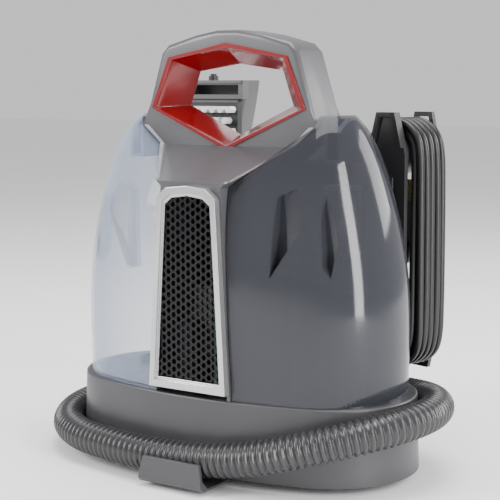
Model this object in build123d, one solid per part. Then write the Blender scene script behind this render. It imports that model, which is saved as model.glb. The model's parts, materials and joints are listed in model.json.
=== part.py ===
from build123d import *
import math
import os

# ---------------------------------------------------------------- driving sizes (mm)
# X runs to the machine's right, Y to its back, Z up; the origin is under its middle.
HEIGHT = 362.0              # floor to the top of the carrying handle
BASE_HALF_X = 157.0         # half the length of the base tub
BASE_HALF_Y = 86.0          # half the depth of the base tub
BASE_MID_Y = 10.0           # the base stands a little behind the handle
BASE_END_R = 75.0           # radius of the tub's ends
BASE_TOP = 68.0             # deck the tanks and housing stand on
FOOT_H = 6.0
WALL = 3.0                  # housing and tub wall
TANK_WALL = 2.4
GAP = 1.0                   # air between a tank and the housing
TANK_BACK_Y = 55.0          # back face of both tanks
STRETCH = (HEIGHT - BASE_TOP) / 294.0


def tall(z):
    """Height of a feature above the deck, stretched with the overall height."""
    return BASE_TOP + (z - BASE_TOP) * STRETCH


TANK_TOP = tall(293.2)        # flat tops of the tanks
NECK_TOP = tall(237.1)        # where the grille column opens into the V
COL_HALF_LOW = 38.0         # half width of the grille column at the deck
COL_HALF_TOP = 29.0         # and at the foot of the V
V_HALF = 86.0               # half width of the V where it meets the handle
V_RISE = 48.0
CORE_HALF = 52.0            # half width of the motor bay behind the grille
CORE_FRONT = -25.0
CORE_BACK = 57.0
REAR_HALF = 68.0            # half width of the rear housing
REAR_BACK = 84.0
REAR_TOP = tall(250.0)
HANDLE_FRONT = -19.0
HANDLE_BACK = 25.0
SPLIT_Y = 3.0               # joint line between the front and rear housings
HOSE_D = 28.0
CORD_D = 6.5
FIT = 0.3                   # side clearance of removable and turning pieces
RUN = 0.05                  # radial clearance of shafts
PORT_R = 18.0               # hose port at the back
PORT_GAP = 2.5              # hose clear of the base beside the port
LIP_OUT = 9.0               # how far the hose hook reaches past the hose
# middle of the depth between the front of the hose hook and the back of the port
ORIGIN_Y = BASE_MID_Y + (PORT_R + PORT_GAP - HOSE_D / 2 - LIP_OUT) / 2

os.makedirs("parts", exist_ok=True)


def save(name, shape):
    """Write one node, moved so that the origin is under the middle of the machine."""
    solids = [s.moved(Location((0, -ORIGIN_Y, 0))) for s in shape.solids()]
    export_step(Compound(children=list(solids)) if len(solids) > 1 else solids[0], f"parts/{name}.step")
    print(name, len(solids), round(sum(s.volume for s in solids)))


def box(x0, x1, y0, y1, z0, z1):
    """Box between two corners."""
    return Pos((x0 + x1) / 2, (y0 + y1) / 2, (z0 + z1) / 2) * Box(x1 - x0, y1 - y0, z1 - z0)


def cyl(p, r, h, axis=(0, 0, 1)):
    """Cylinder of radius r standing on point p along axis."""
    return Solid.make_cylinder(r, h, Plane(origin=p, z_dir=axis))


def cone(p, r0, r1, h, axis=(0, 0, 1)):
    """Cone from radius r0 at p to r1 at the far end."""
    return Solid.make_cone(r0, r1, h, Plane(origin=p, z_dir=axis))


def oval(a, b, r, mid_y, z):
    """Flat face bounded by four tangent arcs: half length a, half depth b, end radius r."""
    c = a - r
    k = (c * c - (b - r) ** 2) / (2 * (b - r))
    big = b + k
    ux = c / (big - r)
    uy = k / (big - r)
    jx = c + r * ux
    jy = r * uy
    front = ThreePointArc((-jx, -jy), (0, -b), (jx, -jy))
    right = ThreePointArc((jx, -jy), (a, 0), (jx, jy))
    back = ThreePointArc((jx, jy), (0, b), (-jx, jy))
    left = ThreePointArc((-jx, jy), (-a, 0), (-jx, -jy))
    return Pos(0, mid_y, z) * make_face([front, right, back, left]).faces()[0]


def oval_tower(rows, inset):
    """Loft through ovals given as (z, half length, half depth), each drawn in by inset."""
    faces = [
        oval(a - inset, b - inset, 0.87 * b - inset, BASE_MID_Y - 2.0, z) for z, a, b in rows
    ]
    return loft(faces)


def flat(points):
    """Flat face inside a closed outline of 3-D points."""
    return make_face(Polyline(*points, close=True)).faces()[0]


def front_prism(points, y0, y1):
    """Extrude a front-view outline, given as (x, z), from y0 back to y1."""
    return Solid.extrude(flat([(x, y0, z) for x, z in points]), Vector(0, y1 - y0, 0))


def mirror_x(shape):
    """The same shape on the other side of the machine."""
    return mirror(shape, about=Plane.YZ)


# ---------------------------------------------------------------- outer forms
ENVELOPE = [
    (BASE_TOP, 148.0, 79.0),
    (tall(115.0), 149.0, 79.5),
    (tall(165.0), 146.5, 78.5),
    (tall(210.0), 138.5, 75.0),
    (tall(250.0), 127.0, 64.0),
    (tall(280.0), 113.5, 44.0),
    (TANK_TOP, 103.0, 30.0),
]


def column(grow):
    """Space taken by the middle of the machine, grown sideways and downward by grow."""
    low = COL_HALF_LOW + grow
    neck = COL_HALF_TOP + grow
    top = V_HALF + grow
    zn = NECK_TOP - 0.9 * grow
    half = [(low, 40.0), (low, BASE_TOP), (neck, zn), (top, zn + V_RISE), (top, HEIGHT + 20.0)]
    outline = half + [(-x, z) for x, z in reversed(half)]
    slim = front_prism(outline, -120.0, CORE_BACK + 60.0)
    core = box(-CORE_HALF - grow, CORE_HALF + grow, CORE_FRONT - grow, CORE_BACK + 60.0, 40.0, NECK_TOP + grow)
    return slim + core


def scoop(grow):
    """Finger recess in the outer front corner of the right tank."""
    wide = [(72, 231), (109, 249), (109, 238), (93, 206), (70, 168)]
    slim = [(110, 240), (119, 196), (116, 170), (110, 178), (106, 222)]
    both = []
    for outline, back in ((wide, -50.0), (slim, -41.0)):
        face = flat([(x, -120.0, tall(z)) for x, z in outline])
        if grow > 0:
            face = offset(face, grow)
        both.append(Solid.extrude(face.faces()[0], Vector(0, 120.0 + back + grow, 0)))
    return both[0] + both[1]


def tank_shell():
    """Right tank: a blow-moulded hollow shell with a finger recess."""
    outer = oval_tower(ENVELOPE, 0.0) & box(0, 200, -120, TANK_BACK_Y, BASE_TOP, TANK_TOP)
    outer = outer - column(GAP) - scoop(0.0)
    inner = oval_tower(ENVELOPE, TANK_WALL)
    inner = inner & box(0, 200, -120, TANK_BACK_Y - TANK_WALL, BASE_TOP + TANK_WALL, TANK_TOP - TANK_WALL)
    inner = inner - column(GAP + TANK_WALL) - scoop(TANK_WALL)
    return outer, inner


CAP_X, CAP_Y = 98.0, 12.0       # screw neck under the clean tank
CAP_R = 21.0



def largest(shape):
    """The largest solid of a cut."""
    return max(shape.solids(), key=lambda s: s.volume)


outer_tank, inner_tank = tank_shell()
outer_tank = largest(outer_tank)
inner_tank = largest(inner_tank)

# clean tank: neck hole in the floor
clean = mirror_x(outer_tank - inner_tank)
clean = clean - cyl((-CAP_X, CAP_Y, BASE_TOP - 1), CAP_R - 6.0, 10.0)
save("clean_tank", largest(clean))

# dirty tank: drain hole in the floor
dirty = outer_tank - inner_tank
dirty = dirty - cyl((CAP_X, CAP_Y, BASE_TOP - 1), CAP_R - 6.0, 10.0)
save("dirty_tank", largest(dirty))

# clean tank cap: ribbed skirt below the floor, spigot and valve stem
CAP_H = 9.0


def screw_cap(cx, bore):
    """Cap with grip ribs under a tank's neck, hollow, with an optional bore for a valve."""
    skirt = cyl((cx, CAP_Y, BASE_TOP - CAP_H), CAP_R - 1.0, CAP_H)
    for i in range(24):
        a = math.radians(15 * i)
        x = cx + (CAP_R - 1.2) * math.cos(a)
        y = CAP_Y + (CAP_R - 1.2) * math.sin(a)
        skirt = skirt + cyl((x, y, BASE_TOP - CAP_H), 1.0, CAP_H - 1.5)
    spigot = cyl((cx, CAP_Y, BASE_TOP), CAP_R - 6.0 - FIT, 7.0)
    body = skirt + spigot
    body = body - cyl((cx, CAP_Y, BASE_TOP - CAP_H + 2), CAP_R - 9.0, 20.0)
    if bore > 0:
        body = body - cyl((cx, CAP_Y, BASE_TOP - CAP_H - 1), bore, 10.0)
    return body


save("clean_cap", screw_cap(-CAP_X, 4.0))
save("drain_cap", screw_cap(CAP_X, 0.0))
stem = cyl((-CAP_X, CAP_Y, BASE_TOP - CAP_H - 1.0), 3.6, 14.0)
stem = stem + cyl((-CAP_X, CAP_Y, BASE_TOP - CAP_H + 2.0), 7.0, 2.5)
save("clean_valve", stem)

# suction tube inside the clean tank
TUBE_X, TUBE_Y = 51.0, -40.0
tube = cyl((-TUBE_X, TUBE_Y, BASE_TOP + 4.0), 5.0, 150.0) - cyl((-TUBE_X, TUBE_Y, BASE_TOP + 3.0), 3.2, 160.0)
for z in (BASE_TOP + 6.0, BASE_TOP + 140.0):
    tube = tube + (cyl((-TUBE_X, TUBE_Y, z), 7.5, 4.0) - cyl((-TUBE_X, TUBE_Y, z - 1), 3.2, 6.0))
save("clean_tank_tube", tube)

# grip blocks in the tank tops
GRIP_X0, GRIP_X1, GRIP_Z0 = 86.0, 104.0, tall(256.0)


def grip_block():
    """Folded box that stiffens the tank top behind the fingers."""
    block = box(GRIP_X0 + 4, GRIP_X1, -14, 26, GRIP_Z0, TANK_TOP - TANK_WALL)
    block = block - box(GRIP_X0 + 6.5, GRIP_X1 - 2.5, -20, 23, GRIP_Z0 + 2.5, TANK_TOP)
    return largest(block & inner_tank)


save("dirty_tank_grip", grip_block())
save("clean_tank_grip", mirror_x(grip_block()))

# float and cage inside the dirty tank
FLOAT_X, FLOAT_Y, FLOAT_Z = 84.0, 28.0, 196.0
FLOAT_R = 11.0
FLOAT_RISE = 22.0


def float_cage():
    """Four posts between two rings round the float, hung on the tank's inner wall."""
    cage = cyl((FLOAT_X, FLOAT_Y, FLOAT_Z - 18), 16, 3)
    cage = cage + cyl((FLOAT_X, FLOAT_Y, FLOAT_Z + FLOAT_RISE + 14), 16, 3)
    for i in range(4):
        a = math.radians(45 + 90 * i)
        foot = (FLOAT_X + 14 * math.cos(a), FLOAT_Y + 14 * math.sin(a), FLOAT_Z - 18)
        cage = cage + cyl(foot, 1.5, FLOAT_RISE + 34)
    cage = cage - cyl((FLOAT_X, FLOAT_Y, FLOAT_Z), 6, 60)
    wall_x = CORE_HALF + GAP + TANK_WALL
    arm = box(wall_x, FLOAT_X - 13, FLOAT_Y - 6, FLOAT_Y + 6, FLOAT_Z - 18, FLOAT_Z - 15)
    return cage + arm


save("float_cage", float_cage())
save("float_ball", Pos(FLOAT_X, FLOAT_Y, FLOAT_Z) * Sphere(FLOAT_R))

# standpipe of the dirty tank
PIPE_X, PIPE_Y = 70.0, -8.0
pipe = cyl((PIPE_X, PIPE_Y, BASE_TOP + TANK_WALL), 12.0, 128.0)
pipe = pipe - cyl((PIPE_X, PIPE_Y, BASE_TOP + 8), 10.0, 140.0)
pipe = pipe - box(PIPE_X, PIPE_X + 20, -20, 20, BASE_TOP + 112, BASE_TOP + 140)
save("dirty_standpipe", pipe)


# ---------------------------------------------------------------- base
def base_tub():
    """Oval tub, open below, with a flat deck and wells for the tank cap."""
    z0 = FOOT_H
    low = oval(BASE_HALF_X, BASE_HALF_Y, BASE_END_R, BASE_MID_Y, z0)
    high = oval(BASE_HALF_X - 2, BASE_HALF_Y - 2, BASE_END_R - 2, BASE_MID_Y, BASE_TOP)
    body = loft([low, high])
    rim = body.edges().group_by(Axis.Z)[-1]
    body = fillet(rim, 2.0)
    t = WALL
    ilow = oval(BASE_HALF_X - t, BASE_HALF_Y - t, BASE_END_R - t, BASE_MID_Y, z0 - 1)
    ihigh = oval(BASE_HALF_X - 2 - t, BASE_HALF_Y - 2 - t, BASE_END_R - 2 - t, BASE_MID_Y, BASE_TOP - t)
    body = body - loft([ilow, ihigh])
    # wells for the tank caps
    for cx in (-CAP_X, CAP_X):
        body = body + cyl((cx, CAP_Y, BASE_TOP - CAP_H - 4.0), CAP_R + 4.0, CAP_H + 3.5)
        body = body - cyl((cx, CAP_Y, BASE_TOP - CAP_H - 1.5), CAP_R + 1.5, CAP_H + 10)
    # openings for air and pipes under the motor bay
    body = body - cyl((0, 20, BASE_TOP - 10), 30.0, 20)
    # screw bosses
    for x in BOSS_X:
        for y in BOSS_Y:
            boss = cyl((x, y, z0 + WALL), 5.0, BASE_TOP - WALL - z0 - 1.0)
            body = body + (boss - cyl((x, y, z0), 1.6, 14.0))
    return body


BOSS_X = (-100.0, 100.0)
BOSS_Y = (-32.0, 62.0)
HOOK_X0, HOOK_X1 = -24.0, 40.0
tub = base_tub()
save("base_tub", largest(tub))

plate = oval(BASE_HALF_X - WALL - FIT, BASE_HALF_Y - WALL - FIT, BASE_END_R - WALL - FIT, BASE_MID_Y, FOOT_H)
plate = Solid.extrude(plate, Vector(0, 0, WALL))
for x in (-60, -40, -20, 0, 20, 40, 60):
    plate = plate - box(x - 3, x + 3, -40, 40, 0, 20)
for x in BOSS_X:
    for y in BOSS_Y:
        plate = plate - cyl((x, y, 0), 2.0, 20)
save("base_plate", plate)

feet = None
for x in (-112, 112):
    for y in (-22, 46):
        foot = cyl((x, y, 0), 9.0, FOOT_H)
        feet = foot if feet is None else feet + foot
save("rubber_feet", feet)

screws = None
for x in BOSS_X:
    for y in BOSS_Y:
        s = cyl((x, y, FOOT_H + 0.0 - 2.4), 3.6, 2.4) + cyl((x, y, FOOT_H - 0.5), 1.5, 11.0)
        s = s - box(x - 3, x + 3, y - 0.4, y + 0.4, FOOT_H - 3, FOOT_H - 1.6)
        screws = s if screws is None else screws + s
save("base_screws", screws)


# ---------------------------------------------------------------- hose hook at the front
def hose_hook():
    """Low lip that carries the hose across the front of the base."""
    front_y = BASE_MID_Y - BASE_HALF_Y
    outer = front_y - HOSE_D - LIP_OUT
    profile = [
        (front_y + 1.0, 4.0), (outer + 3.0, 4.0), (outer, 7.0), (outer + 2.0, 25.0),
        (outer + 5.0, 25.0), (outer + 4.0, 12.0), (outer + 9.0, 5.6), (front_y + 1.0, 5.6),
    ]
    face = flat([(HOOK_X0, y, z) for y, z in profile])
    lip = Solid.extrude(face, Vector(HOOK_X1 - HOOK_X0, 0, 0))
    foot = box(HOOK_X0 + 4, HOOK_X1 - 4, front_y - 1.0, front_y + 12, 2.6, FOOT_H)
    taper = front_prism([(HOOK_X0, 0), (HOOK_X1, 0), (HOOK_X1 - 5, 26), (HOOK_X0 + 5, 26)], -140, 0)
    return (lip + foot) & taper


save("hose_hook", largest(hose_hook()))


# ---------------------------------------------------------------- housing and handle
def handle_outline(grow):
    """Front-view outline of the whole middle body, as (x, z)."""
    zt = HEIGHT - 13.0
    return [
        (V_HALF - 2 + grow, NECK_TOP + V_RISE + 4),
        (67.0 + grow, zt - 5), (60.0 + grow, zt + 2), (32.0, HEIGHT - 3.5), (11.0, HEIGHT),
    ]


HOLE = [(72.0, 298.6), (55.0, 338.4), (0.0, 348.0), (-55.0, 338.4), (-72.0, 298.6), (0.0, 268.0)]
THROAT = [(51.0, 300.5), (41.0, 329.0), (0.0, 335.0), (-41.0, 329.0), (-51.0, 300.5), (0.0, 276.5)]
HOLE = [(x, tall(z)) for x, z in HOLE]
THROAT = [(x, tall(z)) for x, z in THROAT]


def ring_face(points, y, grow):
    """Hexagon of the hand hole at depth y, grown outward by grow."""
    cx, cz = 0.0, tall(306.0)
    out = []
    for x, z in points:
        d = math.hypot(x - cx, z - cz)
        out.append((cx + (x - cx) * (d + grow) / d, y, cz + (z - cz) * (d + grow) / d))
    return flat(out)


LINER_T = 2.5
HANDLE_R = 4.5              # rounding of the handle's outer edges
MID_Y = (HANDLE_FRONT + HANDLE_BACK) / 2


def funnel(y_wide, grow, deep):
    """Solid funnel from the wide outline at y_wide to the throat at the middle."""
    step = 1 if y_wide < MID_Y else -1
    wide = ring_face(HOLE, y_wide - step * deep, grow)
    thin = ring_face(THROAT, MID_Y + step * deep, grow)
    return Solid.make_loft([wide.outer_wire(), thin.outer_wire()], True)


def middle_body():
    """Column, V shoulder and handle as one outer form."""
    half = [(COL_HALF_LOW, BASE_TOP), (COL_HALF_TOP, NECK_TOP), (V_HALF, NECK_TOP + V_RISE)]
    half = half + handle_outline(0.0)
    outline = half + [(-x, z) for x, z in reversed(half)]
    block = front_prism(outline, -71.0, HANDLE_BACK)
    # slope of the shoulder in front of the handle
    z_foot = NECK_TOP + 4
    clear = HEIGHT + 38.0
    cut = [(-200.0, z_foot), (-66.0, z_foot), (HANDLE_FRONT, tall(268.0)), (HANDLE_FRONT, clear), (-200.0, clear)]
    face = flat([(-150.0, y, z) for y, z in cut])
    block = block - Solid.extrude(face, Vector(300, 0, 0))
    top = [e for e in block.edges() if e.center().Z > tall(292.0) and abs(e.center().Y - MID_Y) > 18.0]
    block = fillet(top, HANDLE_R)
    # behind the column
    core = box(-CORE_HALF, CORE_HALF, CORE_FRONT, CORE_BACK, BASE_TOP, NECK_TOP)
    rear = box(-REAR_HALF, REAR_HALF, CORE_BACK - 1, REAR_BACK, BASE_TOP, REAR_TOP)
    rear = fillet(rear.edges().filter_by(Axis.Z).group_by(Axis.Y)[-1], 14.0)
    bridge = box(-COL_HALF_TOP + 1, COL_HALF_TOP - 1, HANDLE_BACK - 10, CORE_BACK + 4, NECK_TOP - 1, REAR_TOP)
    return block + core + rear + bridge


body = middle_body()
hand = funnel(HANDLE_FRONT, LINER_T, 0.01) + funnel(HANDLE_BACK, LINER_T, 0.01)
body = body - hand
# motor bay
bay = box(-CORE_HALF + WALL, CORE_HALF - WALL, CORE_FRONT + WALL, REAR_BACK - WALL, BASE_TOP - 1, NECK_TOP - WALL)
low = COL_HALF_LOW - WALL
high = COL_HALF_TOP - WALL
duct = front_prism([(-low, BASE_TOP - 1), (low, BASE_TOP - 1), (high, NECK_TOP - 6), (-high, NECK_TOP - 6)], -120, 0)
body = body - bay - duct
wing = box(-REAR_HALF + WALL, REAR_HALF - WALL, CORE_BACK + 2, REAR_BACK - WALL, BASE_TOP - 1, NECK_TOP - WALL)
body = body - wing
front_half = body & box(-200, 200, -200, SPLIT_Y, 0, HEIGHT + 38)
rear_half = body & box(-200, 200, SPLIT_Y, 200, 0, HEIGHT + 38)

GLAND_P = (REAR_HALF, 77.0, 134.0)
GLAND_DIR = (11.0, 4.0, 22.0)
EXHAUST_Z = (96.0, 106.0, 116.0, 126.0, 136.0)
SWITCH_X, SWITCH_Y = 34.0, 66.0

for z in EXHAUST_Z:
    rear_half = rear_half - box(-34, 4, REAR_BACK - 6, REAR_BACK + 6, z - 2.2, z + 2.2)
rear_half = rear_half - box(SWITCH_X - 14, SWITCH_X + 14, SWITCH_Y - 8, SWITCH_Y + 8, REAR_TOP - 16, REAR_TOP + 5)


# ---------------------------------------------------------------- liners, grille
def liner(y_wide):
    """Red funnel lining of one side of the hand hole, with a rim on the face."""
    step = 1 if y_wide < MID_Y else -1
    shell = funnel(y_wide, LINER_T - 0.1, 0.0) - funnel(y_wide, 0.0, 0.01)
    rim = ring_face(HOLE, y_wide, LINER_T + 1.5)
    rim = Solid.extrude(rim, Vector(0, -step * 1.2, 0))
    hole = ring_face(HOLE, y_wide + step, 0.0)
    rim = rim - Solid.extrude(hole, Vector(0, -step * 4.0, 0))
    return shell + rim


liner_f = liner(HANDLE_FRONT)
liner_r = liner(HANDLE_BACK)
front_half = largest(front_half - liner_f)
rear_half = rear_half - liner_r
save("housing_front", front_half)
save("handle_liner_front", largest(liner_f))
save("handle_liner_rear", largest(liner_r))

# bright strips along the two edges of the V
TRIM_T = 1.4
slab = [
    (-70.9, NECK_TOP + 4), (-66.0, NECK_TOP + 4), (HANDLE_FRONT, tall(268.0)), (HANDLE_FRONT, tall(284.0)),
    (HANDLE_FRONT - TRIM_T, tall(284.0)), (HANDLE_FRONT - TRIM_T, tall(268.0) + TRIM_T * 0.7),
    (-66.4, NECK_TOP + 4 + TRIM_T), (-70.9, NECK_TOP + 4 + TRIM_T),
]
slab = Solid.extrude(flat([(-150.0, y, z) for y, z in slab]), Vector(300, 0, 0))
strip = front_prism([(28.0, NECK_TOP), (COL_HALF_TOP + 1.4, NECK_TOP), (V_HALF - 1.6, NECK_TOP + V_RISE - 1),
                     (V_HALF - 6.5, NECK_TOP + V_RISE - 1)], -90, 0)
strip = largest(strip & slab)
save("v_trim", Compound(children=[strip, mirror_x(strip)]))

GRILLE_Y = -71.0
FRAME_OUT = [(-37.5, 73.0), (37.5, 73.0), (28.0, 229.0), (19.0, 236.5), (0.0, 238.5), (-19.0, 236.5), (-28.0, 229.0)]
FRAME_IN = [(-32.5, 79.0), (32.5, 79.0), (23.5, 225.0), (16.0, 230.5), (0.0, 232.5), (-16.0, 230.5), (-23.5, 225.0)]
FRAME_OUT = [(x, tall(z)) for x, z in FRAME_OUT]
FRAME_IN = [(x, tall(z)) for x, z in FRAME_IN]
GRILLE_MID = tall(154.0)
frame = front_prism(FRAME_OUT, GRILLE_Y - 7.0, GRILLE_Y)
frame = frame - front_prism(FRAME_IN, GRILLE_Y - 12.0, GRILLE_Y + 5)
frame_lip = front_prism(FRAME_IN, GRILLE_Y - 4.5, GRILLE_Y - 3.0)
inner_lip = [(x * 0.93, GRILLE_MID + (z - GRILLE_MID) * 0.97) for x, z in FRAME_IN]
frame_lip = frame_lip - front_prism(inner_lip, GRILLE_Y - 9, GRILLE_Y + 5)
front_frame = frame + frame_lip
save("grille_frame", largest(front_frame))

mesh_out = [(x * 0.985, GRILLE_MID + (z - GRILLE_MID) * 0.99) for x, z in FRAME_IN]
mesh = front_prism(mesh_out, GRILLE_Y - 3.0, GRILLE_Y - 1.0)
PITCH_X, PITCH_Z, CELL_R = 4.85, 6.9, 2.4
cells = []
for i in range(-6, 7):
    for j in range(-16, 17):
        x = i * PITCH_X
        z = GRILLE_MID + j * PITCH_Z + (PITCH_Z / 2 if i % 2 else 0)
        edge = 31.5 - (z - tall(79.0)) * 9.0 / (146.0 * STRETCH)
        if abs(x) < edge - 5.0 and tall(84.5) < z < tall(221.5):
            cells.append(Pos(x, GRILLE_Y - 4, z) * Rot(-90, 0, 0) * extrude(RegularPolygon(CELL_R, 6), 6))
mesh = mesh.cut(*[c.solids()[0] for c in cells])
save("grille_mesh", mesh)

# ---------------------------------------------------------------- motor, fan, pump, board
MOTOR = (0.0, 28.0)
can = cyl((MOTOR[0], MOTOR[1], 84), 26, 62) - cyl((MOTOR[0], MOTOR[1], 87), 24, 56)
can = can - cyl((MOTOR[0], MOTOR[1], 80), 4.0 + RUN, 80)
for i in range(8):
    a = 45 * i
    slot = Pos(MOTOR[0], MOTOR[1], 0) * Rot(0, 0, a) * box(20, 30, -3, 3, 100, 130)
    can = can - slot
save("motor_can", can)
shaft = cyl((MOTOR[0], MOTOR[1], 80), 4.0, 92)
shaft = shaft + cyl((MOTOR[0], MOTOR[1], 95), 18.0, 40)
fan = cyl((MOTOR[0], MOTOR[1], 152), 30.0, 2.0)
for i in range(9):
    fan = fan + Pos(MOTOR[0], MOTOR[1], 0) * Rot(0, 0, 40 * i) * box(8, 29, -1, 1, 154, 164)
save("motor_rotor", shaft + fan)
cover = cyl((MOTOR[0], MOTOR[1], 148), 36, 24) - cyl((MOTOR[0], MOTOR[1], 150), 33, 19)
cover = cover - cyl((MOTOR[0], MOTOR[1], 140), 27, 12) - cyl((MOTOR[0], MOTOR[1], 160), 14, 20)
cover = cover - cyl((MOTOR[0], MOTOR[1], 147), 10, 30)
save("fan_cover", cover)
mount = box(-CORE_HALF + WALL, CORE_HALF - WALL, 0, 56, 81, 84) - cyl((MOTOR[0], MOTOR[1], 80), 12, 10)
save("motor_mount", mount)
bracket = box(-CORE_HALF + WALL, CORE_HALF - WALL, 0, 60, 146, 148) - cyl((MOTOR[0], MOTOR[1], 140), 27, 12)
save("fan_bracket", bracket)
pump = cyl((-20, -46, 84), 11, 30) + box(-30, -10, -56, -36, 114, 124) + cyl((-20, -46, 124), 3, 8)
pump = pump + box(-(COL_HALF_LOW - WALL - 1.5), -6, -58, -34, BASE_TOP, 84)
save("water_pump", pump)
board = box(8, 30, -50, -48, 90, 150)
for z in (98, 112, 130, 142):
    board = board + box(12, 22, -48, -44, z - 4, z + 4)
board = board + box(6, 30, -58, -30, BASE_TOP, BASE_TOP + 3) + box(8, 30, -50, -47, BASE_TOP, 92)
save("control_board", board)

# rocker switch on top of the rear housing
bezel = box(SWITCH_X - 14, SWITCH_X + 14, SWITCH_Y - 8, SWITCH_Y + 8, REAR_TOP - 13, REAR_TOP + 1.5)
bezel = bezel - box(SWITCH_X - 11.5, SWITCH_X + 11.5, SWITCH_Y - 6, SWITCH_Y + 6, REAR_TOP - 10, REAR_TOP + 5)
PIN_Z = REAR_TOP - 3.0
bezel = bezel + cyl((SWITCH_X, SWITCH_Y - 7, PIN_Z), 1.5, 14, (0, 1, 0))
save("switch_bezel", bezel)
rocker = front_prism(
    [(SWITCH_X - 10.5, REAR_TOP - 2), (SWITCH_X - 4, REAR_TOP - 6), (SWITCH_X + 4, REAR_TOP - 6),
     (SWITCH_X + 10.5, REAR_TOP - 2), (SWITCH_X + 10.5, REAR_TOP + 5.0), (SWITCH_X, REAR_TOP + 1.5),
     (SWITCH_X - 10.5, REAR_TOP + 1.5)], SWITCH_Y - 5.5, SWITCH_Y + 5.5)
rocker = rocker - cyl((SWITCH_X, SWITCH_Y - 9, PIN_Z), 1.5 + RUN, 18, (0, 1, 0))
save("switch_rocker", rocker)

# ---------------------------------------------------------------- cord wrap
WRAP_TURN = math.radians(75.0)
WRAP_P = Vector(106.0, 68.5, 0.0)
AX = Vector(math.cos(WRAP_TURN), math.sin(WRAP_TURN), 0)
HX = Vector(math.sin(WRAP_TURN), -math.cos(WRAP_TURN), 0)
WRAP_LEN = 6 * CORD_D + 1.0
LOOP_OUT = 31.0
LOOP_IN = LOOP_OUT - 2 * CORD_D
LOOP_TOP, LOOP_BOT = 291.0, 78.0
POST_TOP = LOOP_TOP - LOOP_OUT
POST_BOT = LOOP_BOT + LOOP_OUT
POST_R = LOOP_IN - 1.5


def wrap_plane(t, z):
    """Plane across the wrap's axis, t along it, with its local X sideways and Y up."""
    p = WRAP_P + AX * t
    return Plane(origin=(p.X, p.Y, z), x_dir=HX, z_dir=-AX)


def wrap_prism(points, t, length):
    """Extrude an outline, given as (sideways, z), along the wrap's axis."""
    pl = wrap_plane(t, 0.0)
    pts = []
    for h, z in points:
        v = pl.origin + HX * h
        pts.append((v.X, v.Y, z))
    return Solid.extrude(flat(pts), AX * length)


def wrap_cyl(t, z, r, length):
    """Cylinder along the wrap's axis."""
    p = WRAP_P + AX * t
    return Solid.make_cylinder(r, length, Plane(origin=(p.X, p.Y, z), z_dir=AX))


def arch(zc, up, t, length, sink):
    """Flange of a cord post: a tapered arch pointing up or down."""
    out = [(-15, zc), (15, zc), (15, zc + up * 12), (9.5, zc + up * 35), (-9.5, zc + up * 35), (-15, zc + up * 12)]
    return wrap_prism(out, t, length)


def window(zc, up, t, length):
    """Opening inside the arch."""
    out = [(-9, zc + up * 19), (9, zc + up * 19), (6, zc + up * 31), (-6, zc + up * 31)]
    return wrap_prism(out, t, length)


PLATE_T = 4.0
back_plate = wrap_prism(
    [(-20, POST_BOT - 28), (20, POST_BOT - 28), (20, POST_TOP), (10, POST_TOP + 35),
     (-10, POST_TOP + 35), (-20, POST_TOP)], -PLATE_T, PLATE_T)
slot = wrap_prism([(-7, 215), (-10, 228), (-7, 241), (7, 241), (10, 228), (7, 215)], -PLATE_T - 1, PLATE_T + 2)
back_plate = back_plate - slot
rim = wrap_prism([(-10, POST_TOP + 35), (10, POST_TOP + 35), (18, POST_TOP + 6), (14, POST_TOP + 6),
                  (7, POST_TOP + 31), (-7, POST_TOP + 31), (-14, POST_TOP + 6), (-18, POST_TOP + 6)], -PLATE_T - 3, 3.5)
low_post = wrap_cyl(-0.5, POST_BOT, POST_R, WRAP_LEN + 1.5) - wrap_cyl(2, POST_BOT, POST_R - 3, WRAP_LEN + 9)
low_flange = arch(POST_BOT, -1, WRAP_LEN + 1.0, 4.0, 0) + wrap_cyl(WRAP_LEN + 1.0, POST_BOT, POST_R, 4.0)
low_flange = low_flange - window(POST_BOT, -1, WRAP_LEN, 9)
low_flange = low_flange - wrap_cyl(2, POST_BOT, POST_R - 3, WRAP_LEN + 9)
stub = wrap_cyl(-1.0, POST_TOP, 6.0, 16.0)
arms = None
for z in (POST_BOT - 12, 190.0):
    arm = box(REAR_HALF - 2.0, 92.0, 64.0, 70.0, z, z + 14)
    arms = arm if arms is None else arms + arm
wrap = back_plate + rim + low_post + low_flange + stub + arms
rear_half = rear_half - box(REAR_HALF - 2.0, 92.0, 64.0, 70.0, POST_BOT - 12, POST_BOT + 2)
rear_half = rear_half - box(REAR_HALF - 2.0, 92.0, 64.0, 70.0, 190, 204)
save("cord_wrap_frame", largest(wrap))

hook = wrap_cyl(FIT, POST_TOP, POST_R, WRAP_LEN + 1.0) - wrap_cyl(0, POST_TOP, 6.0 + RUN, 15.6)
hook = hook + arch(POST_TOP, 1, WRAP_LEN + 1.0, 4.0, 0) + wrap_cyl(WRAP_LEN + 1.0, POST_TOP, POST_R, 4.0)
hook = hook - window(POST_TOP, 1, WRAP_LEN, 9)
hook = hook - wrap_cyl(19, POST_TOP, POST_R - 3, WRAP_LEN)
save("cord_hook", largest(hook))


def racetrack(half, top, bottom, t, length):
    """Loop outline with round ends, along the wrap's axis."""
    a = wrap_cyl(t, top - half, half, length)
    b = wrap_cyl(t, bottom + half, half, length)
    c = wrap_prism([(-half, bottom + half), (half, bottom + half), (half, top - half), (-half, top - half)], t, length)
    return a + b + c


winding = racetrack(LOOP_OUT, LOOP_TOP, LOOP_BOT, 0.8, WRAP_LEN - 0.2)
winding = winding - racetrack(LOOP_IN, LOOP_TOP - 2 * CORD_D, LOOP_BOT + 2 * CORD_D, 0.0, WRAP_LEN + 9)
winding = largest(winding)
save("cord_winding", winding)

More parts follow.
